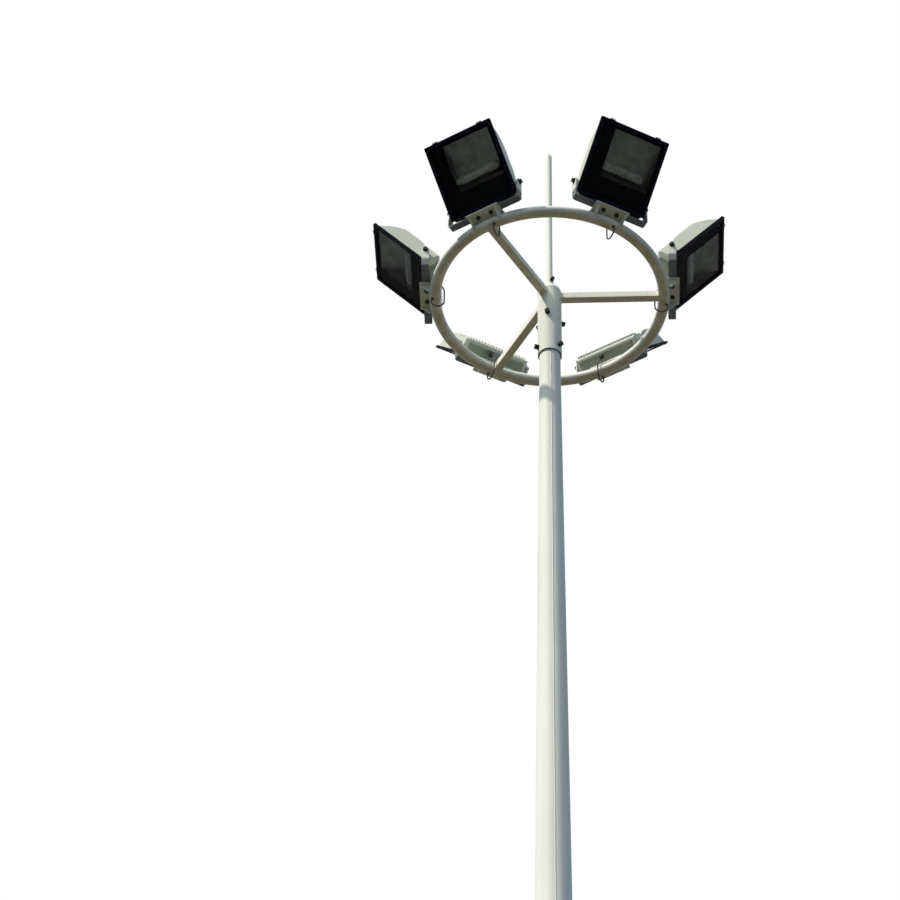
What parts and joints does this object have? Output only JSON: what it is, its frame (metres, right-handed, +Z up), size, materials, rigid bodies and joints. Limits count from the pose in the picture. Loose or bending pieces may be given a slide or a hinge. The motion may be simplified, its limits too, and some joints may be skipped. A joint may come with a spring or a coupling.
{
  "type": "high mast floodlight tower",
  "caption": "Tall twelve-sided tapered mast on a bolted flange, carrying a round ring of tilting floodlights and a lightning rod.",
  "frame": {"origin": "middle of the underside of the base flange, on the mast's axis at ground level", "axes": "+Z up along the mast; +X towards lamp 1, which is to the right for a viewer who stands on the -Y side"},
  "size_m": [1.8648, 1.8072, 16.19],
  "materials": {
    "mast_paint": "satin",
    "bracket_paint": "satin",
    "dark_bolts": "matte",
    "cast_grey": "matte",
    "frame_black": "satin",
    "front_glass": "gloss",
    "reflector": "satin",
    "bulb_glass": "gloss",
    "lead_rubber": "matte"
  },
  "bodies": {
    "root": {"base_flange": "mast_paint", "base_gussets": "mast_paint", "mast_lower": "mast_paint", "handhole_cover": "mast_paint", "mast_upper": "mast_paint", "head_sleeve": "mast_paint", "lightning_rod": "mast_paint", "spokes": "mast_paint", "ring": "mast_paint", "mount_plates": "bracket_paint", "yokes": "bracket_paint", "set_bolts": "dark_bolts", "plate_bolts": "dark_bolts", "pivot_bolts": "dark_bolts", "lead_1": "lead_rubber", "lead_2": "lead_rubber", "lead_3": "lead_rubber", "lead_4": "lead_rubber", "lead_5": "lead_rubber", "lead_6": "lead_rubber"},
    "lamp_1": {"lamp_housing_1": "cast_grey", "lamp_reflector_1": "reflector", "lamp_bulb_1": "bulb_glass", "lamp_frame_1": "frame_black", "lamp_glass_1": "front_glass"},
    "lamp_2": {"lamp_housing_2": "cast_grey", "lamp_reflector_2": "reflector", "lamp_bulb_2": "bulb_glass", "lamp_frame_2": "frame_black", "lamp_glass_2": "front_glass"},
    "lamp_3": {"lamp_housing_3": "cast_grey", "lamp_reflector_3": "reflector", "lamp_bulb_3": "bulb_glass", "lamp_frame_3": "frame_black", "lamp_glass_3": "front_glass"},
    "lamp_4": {"lamp_housing_4": "cast_grey", "lamp_reflector_4": "reflector", "lamp_bulb_4": "bulb_glass", "lamp_frame_4": "frame_black", "lamp_glass_4": "front_glass"},
    "lamp_5": {"lamp_housing_5": "cast_grey", "lamp_reflector_5": "reflector", "lamp_bulb_5": "bulb_glass", "lamp_frame_5": "frame_black", "lamp_glass_5": "front_glass"},
    "lamp_6": {"lamp_housing_6": "cast_grey", "lamp_reflector_6": "reflector", "lamp_bulb_6": "bulb_glass", "lamp_frame_6": "frame_black", "lamp_glass_6": "front_glass"}
  },
  "joints": [
    {"name": "lamp_1_tilt", "type": "hinge", "parent": "root", "child": "lamp_1", "pos_m": [0.646, 0, 15.165], "axis": [0, -1, 0], "range_deg": [-48, 42], "deforming": ["lead_1"]},
    {"name": "lamp_2_tilt", "type": "hinge", "parent": "root", "child": "lamp_2", "pos_m": [0.323, 0.55945, 15.165], "axis": [0.866, -0.5, 0], "range_deg": [-48, 42], "deforming": ["lead_2"]},
    {"name": "lamp_3_tilt", "type": "hinge", "parent": "root", "child": "lamp_3", "pos_m": [-0.323, 0.55945, 15.165], "axis": [0.866, 0.5, 0], "range_deg": [-48, 42], "deforming": ["lead_3"]},
    {"name": "lamp_4_tilt", "type": "hinge", "parent": "root", "child": "lamp_4", "pos_m": [-0.646, 0, 15.165], "axis": [0, 1, 0], "range_deg": [-48, 42], "deforming": ["lead_4"]},
    {"name": "lamp_5_tilt", "type": "hinge", "parent": "root", "child": "lamp_5", "pos_m": [-0.323, -0.55945, 15.165], "axis": [-0.866, 0.5, 0], "range_deg": [-48, 42], "deforming": ["lead_5"]},
    {"name": "lamp_6_tilt", "type": "hinge", "parent": "root", "child": "lamp_6", "pos_m": [0.323, -0.55945, 15.165], "axis": [-0.866, -0.5, 0], "range_deg": [-48, 42], "deforming": ["lead_6"]}
  ]
}
